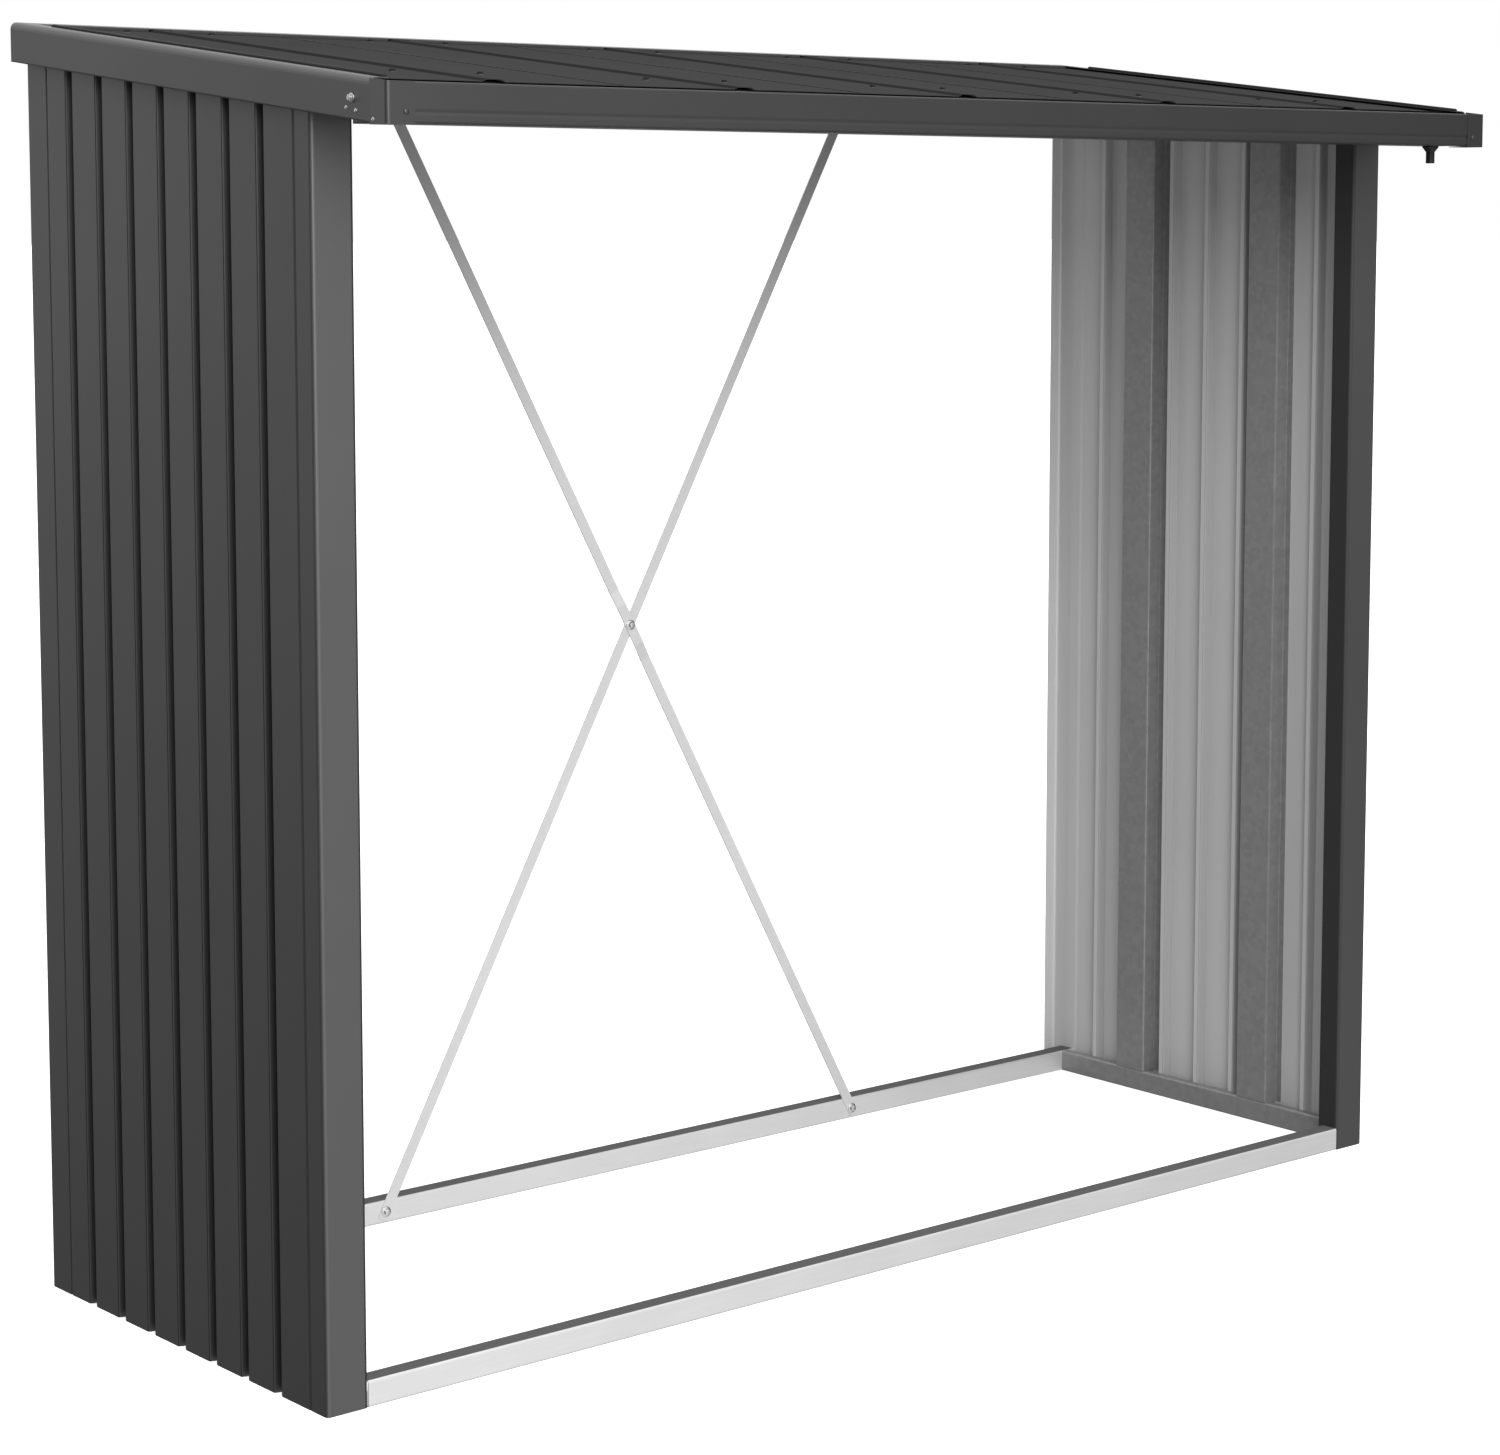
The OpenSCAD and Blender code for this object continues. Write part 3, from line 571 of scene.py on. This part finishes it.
# Fascias: the screw and two rivets that hold each front end, by their place along the slope and above it
FASCIA_SCREW = (-948 * MM, -31 * MM)
FASCIA_RIVETS = ((-936 * MM, -45 * MM), (-959 * MM, -47 * MM))
places = [(on_roof(side * fascia_out, *FASCIA_SCREW), outward) for side, outward in SIDES]
set_row("fascia_screws", fascia_screw, places, ZINC)
places = [(on_roof(side * fascia_out, *rivet), outward)
          for side, outward in SIDES for rivet in FASCIA_RIVETS]
set_row("fascia_rivets", small_rivet, places, ZINC)

# Sealing beads of D section along the inner edge of the side fascias' flanges
BEAD_ENDS = (-984 * MM, -90 * MM)
BEAD_IN = 4.5 * MM
BEAD_WIDTH = 8 * MM
BEAD_HEIGHT = 4 * MM
for side, name in ((-1, "left_sealing_bead"), (1, "right_sealing_bead")):
    bead_x = side * (fascia_out - FASCIA_FLANGE + BEAD_IN)
    bead = bar_on_roof(bead_x, BEAD_ENDS, BEAD_HEIGHT / 2, BEAD_WIDTH, BEAD_HEIGHT)
    bead.name = bead.data.name = name
    edit(bead)
    choose_faces(bead, lambda middle, normal: normal.dot(ROOF_UP) > SQUARELY)
    bpy.ops.mesh.bevel(offset=BEAD_HEIGHT * 0.7, segments=4, affect="EDGES")
    leave_edit()
    bpy.ops.object.shade_smooth_by_angle(angle=math.radians(50))
    finish_piece(bead, RUBBER)

# Seals of T section over the seams between the roof sheets: a head on the sheets and a web in the gap
SEAL_ENDS = (-926 * MM, -34 * MM)
SEAL_WIDTH = 5 * MM
SEAL_RISE = 0.8 * MM
SEAL_WEB = 0.9 * MM
SEAL_WEB_WIDTH = 0.3 * MM
seals = []
for i in range(ROOF_SHEETS - 1):
    seam_x = (i + 1 - ROOF_SHEETS / 2) * SHEET_PITCH
    seal = bar_on_roof(seam_x, SEAL_ENDS, SEAL_RISE / 2 - ROOF_RECESS, SEAL_WIDTH, SEAL_RISE)
    edit(seal)
    choose_faces(seal, lambda middle, normal: normal.dot(ROOF_UP) < -SQUARELY)
    bpy.ops.mesh.inset(thickness=(SEAL_WIDTH - SEAL_WEB_WIDTH) / 2)
    bpy.ops.mesh.extrude_region_move(TRANSFORM_OT_translate={"value": -SEAL_WEB * ROOF_UP})
    leave_edit()
    seals.append(seal)
seam_seals = join(seals, "seam_seals")
soften(seam_seals, 0.1 * MM)
finish_piece(seam_seals, RUBBER)

# Foam under the rear fascia's flange, in the gaps that the ribs leave
FOAM_ENDS = (-32 * MM, -24 * MM)
FOAM_UP = -3.1 * MM
FOAM_HEIGHT = 3.6 * MM
RIB_ROOM = 21 * MM
rib_places = [(i - (ROOF_SHEETS - 1) / 2) * SHEET_PITCH for i in range(ROOF_SHEETS)]
foam_out = fascia_out - FASCIA_FLANGE - 1 * MM
foam_edges = [-foam_out]
for rib_x in rib_places:
    foam_edges += [rib_x - RIB_ROOM, rib_x + RIB_ROOM]
foam_edges.append(foam_out)
strips = []
for left, right in zip(foam_edges[::2], foam_edges[1::2]):
    strips.append(bar_on_roof((left + right) / 2, FOAM_ENDS, FOAM_UP, right - left, FOAM_HEIGHT))
foam = join(strips, "rear_foam_strips")
soften(foam, 0.6 * MM)
finish_piece(foam, FOAM)

# Stop ends: a plate that closes each end of the trough, with a foot on the gutter's floor
STOP_SHEET = 1.5 * MM
STOP_FOOT = 12 * MM
STOP_RISE = 44 * MM
trough_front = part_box("gutter_face")[0].y + 2.5 * MM
trough_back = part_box("gutter_back_wall")[0].y - 0.5 * MM
trough_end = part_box("gutter_floor")[1].x
trough_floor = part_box("gutter_floor")[1].z
foot_top = trough_floor + STOP_SHEET
stops = []
for side in (-1, 1):
    clear_selection()
    bpy.ops.mesh.primitive_cube_add(
        size=1, scale=(STOP_SHEET, trough_back - trough_front, STOP_RISE),
        location=(side * (trough_end - STOP_SHEET / 2), (trough_front + trough_back) / 2,
                  trough_floor + STOP_RISE / 2))
    stop = bpy.context.object
    bpy.ops.object.transform_apply(location=True, rotation=True, scale=True)
    edit(stop)
    bpy.ops.mesh.select_all(action="SELECT")
    bpy.ops.mesh.bisect(plane_co=(0, 0, foot_top), plane_no=(0, 0, 1))
    choose_faces(stop, lambda middle, normal: normal.x * side < -SQUARELY and middle.z < foot_top)
    bpy.ops.mesh.extrude_region_move(TRANSFORM_OT_translate={"value": (-side * STOP_FOOT, 0, 0)})
    leave_edit()
    stops.append(stop)
stop_ends = join(stops, "gutter_stop_ends")
soften(stop_ends, 0.3 * MM)
finish_piece(stop_ends, GUTTER_COAT)

# End caps: one rivet on each end plate, and one with the coat on the wrap round the gutter's face
END_RIVET_BACK = 32 * MM
END_RIVET_DROP = 50 * MM
WRAP_RIVET_IN = 31 * MM
WRAP_RIVET_DROP = 40 * MM
places = [(Vector((side * fascia_out, cap_front + END_RIVET_BACK, gutter_top - END_RIVET_DROP)), outward)
          for side, outward in SIDES]
set_row("cap_rivets", small_rivet, places, ZINC)
places = [(Vector((side * (fascia_out - WRAP_RIVET_IN), cap_front, gutter_top - WRAP_RIVET_DROP)), OUT_FRONT)
          for side in (-1, 1)]
set_row("cap_screws", cap_rivet, places, CAP_COAT)

# Roof: screws over the front and rear beams, either side of each rib
ROOF_SCREW_OUT = 75 * MM
BEAM_LINES = (-790 * MM, -60 * MM)
places = []
for rib_x in rib_places:
    for side in (-1, 1):
        for beam_line in BEAM_LINES:
            places.append((on_roof(rib_x + side * ROOF_SCREW_OUT, beam_line, -ROOF_RECESS), ROOF_UP))
set_row("roof_screws", roof_screw, places, ROOF_SHEET)

# Brace: a bolt at each strap's ends and one where the straps cross, with their nuts behind
LOW_BOLT_Z = 20 * MM
HIGH_BOLT_Z = strap_mid_z * 2 - LOW_BOLT_Z
cross_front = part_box("falling_brace_strap")[0].y
places = [(Vector((side * STRAP_X, strap_low.y, z)), OUT_FRONT)
          for side in (-1, 1) for z in (LOW_BOLT_Z, HIGH_BOLT_Z)]
places.append((Vector((0, cross_front, strap_mid_z)), OUT_FRONT))
set_row("brace_bolts", brace_bolt, places, ZINC)
places = [(Vector((0, strap_high.y, strap_mid_z)), OUT_BACK)]
for side in (-1, 1):
    places.append((Vector((side * STRAP_X, strap_high.y + RAIL_SHEET, LOW_BOLT_Z)), OUT_BACK))
    places.append((Vector((side * STRAP_X, strap_high.y + BEAM_SHEET, HIGH_BOLT_Z)), OUT_BACK))
set_row("brace_nuts", brace_bolt, places, ZINC)

for pattern in (cap_rivet, small_rivet, roof_screw, fascia_screw, brace_bolt):
    bpy.data.objects.remove(pattern)

# Studio: a pale floor, a white surround and a soft light. The shares are of the surround's full glow
FLOOR_SIZE = 400
FLOOR_GLOW = 0.45
GLOW = 1.2
RIGHT_GLOW = 0.1
LEFT_SHARE = 0.2
FRONT_SHARE = 1.45
FRONT_FLOOR_SHARE = 1.0
REAR_FLOOR_SHARE = 0.19
WHITE = linear("#ffffff")


def studio_floor():
    """A plain painted floor. Only the camera sees it, so that it doesn't light the store from below."""
    material, tree, output, place = new_material("painted_studio_floor")
    tone = put(tree, "ShaderNodeTexNoise", {"Scale": per_metre(900), "Detail": 2.0}, {"Vector": place})
    colour = put(tree, "ShaderNodeMix",
                 {"data_type": "RGBA", COLOUR_A: linear("#f8f8f8"), COLOUR_B: linear("#fcfcfc")},
                 {FACTOR: tone.outputs["Fac"]})
    shader = put(tree, "ShaderNodeBsdfPrincipled",
                 {"Roughness": 0.9, "Specular IOR Level": 0.0, "Emission Color": WHITE,
                  "Emission Strength": FLOOR_GLOW},
                 {"Base Color": colour.outputs[MIXED]})
    tree.links.new(shader.outputs[0], output.inputs["Surface"])
    clear_selection()
    bpy.ops.mesh.primitive_plane_add(size=FLOOR_SIZE, location=(0, 0, 0))
    floor = bpy.context.object
    floor.name = "studio_floor"
    floor.data.materials.append(material)
    floor.visible_diffuse = floor.visible_glossy = False


def studio_surround():
    """White to the camera. To everything else a soft wrap-round: bright in front and behind, dimmer on the
    left, in front on the right and towards the floor."""
    world = bpy.data.worlds.new("studio_surround")
    world.use_nodes = True
    bpy.context.scene.world = world
    tree = world.node_tree
    tree.nodes.clear()
    direction = put(tree, "ShaderNodeTexCoord").outputs["Generated"]
    towards = put(tree, "ShaderNodeSeparateXYZ", {}, {0: direction})
    right = put(tree, "ShaderNodeMapRange",
                {"interpolation_type": "SMOOTHSTEP", "From Min": 0.52, "From Max": 0.72,
                 "To Min": GLOW, "To Max": RIGHT_GLOW},
                {"Value": towards.outputs["X"]})
    front_level = put(tree, "ShaderNodeMapRange",
                      {"interpolation_type": "SMOOTHSTEP", "From Min": -0.35, "From Max": 0.1,
                       "To Min": FRONT_FLOOR_SHARE, "To Max": FRONT_SHARE},
                      {"Value": towards.outputs["Z"]})
    front = put(tree, "ShaderNodeMath", {"operation": "MULTIPLY"},
                {0: right.outputs["Result"], 1: front_level.outputs["Result"]})
    rear = put(tree, "ShaderNodeMapRange",
               {"interpolation_type": "SMOOTHSTEP", "From Min": -0.4, "From Max": 0.3,
                "To Min": GLOW * REAR_FLOOR_SHARE, "To Max": GLOW},
               {"Value": towards.outputs["Z"]})
    behind = put(tree, "ShaderNodeMapRange",
                 {"interpolation_type": "SMOOTHSTEP", "From Min": -0.3, "From Max": 0.3},
                 {"Value": towards.outputs["Y"]})
    around = put(tree, "ShaderNodeMix", {"data_type": "FLOAT"},
                 {0: behind.outputs["Result"], 2: front.outputs[0], 3: rear.outputs["Result"]})
    left = put(tree, "ShaderNodeMapRange",
               {"interpolation_type": "SMOOTHSTEP", "From Min": -0.85, "From Max": -0.5,
                "To Min": LEFT_SHARE, "To Max": 1.0},
               {"Value": towards.outputs["X"]})
    strength = put(tree, "ShaderNodeMath", {"operation": "MULTIPLY"},
                   {0: around.outputs[0], 1: left.outputs["Result"]})
    soft = put(tree, "ShaderNodeBackground", {"Color": WHITE}, {"Strength": strength.outputs[0]})
    white = put(tree, "ShaderNodeBackground", {"Color": WHITE, "Strength": 1.0})
    seen = put(tree, "ShaderNodeLightPath").outputs["Is Camera Ray"]
    mix = put(tree, "ShaderNodeMixShader", {}, {0: seen, 1: soft.outputs[0], 2: white.outputs[0]})
    put(tree, "ShaderNodeOutputWorld", {}, {"Surface": mix.outputs[0]})


def soft_light(name, place, aim, size, power):
    """A square area light of so many metres and watts at a place, turned to a point."""
    clear_selection()
    bpy.ops.object.light_add(type="AREA", location=place)
    light = bpy.context.object
    light.name = name
    light.data.size = size
    light.data.energy = power
    light.rotation_euler = (Vector(aim) - Vector(place)).to_track_quat("-Z", "Y").to_euler()


studio_floor()
studio_surround()
soft_light("key_light", place=(-2.5, -4.5, 4.0), aim=(0, 0, 1.0), size=3.5, power=240)
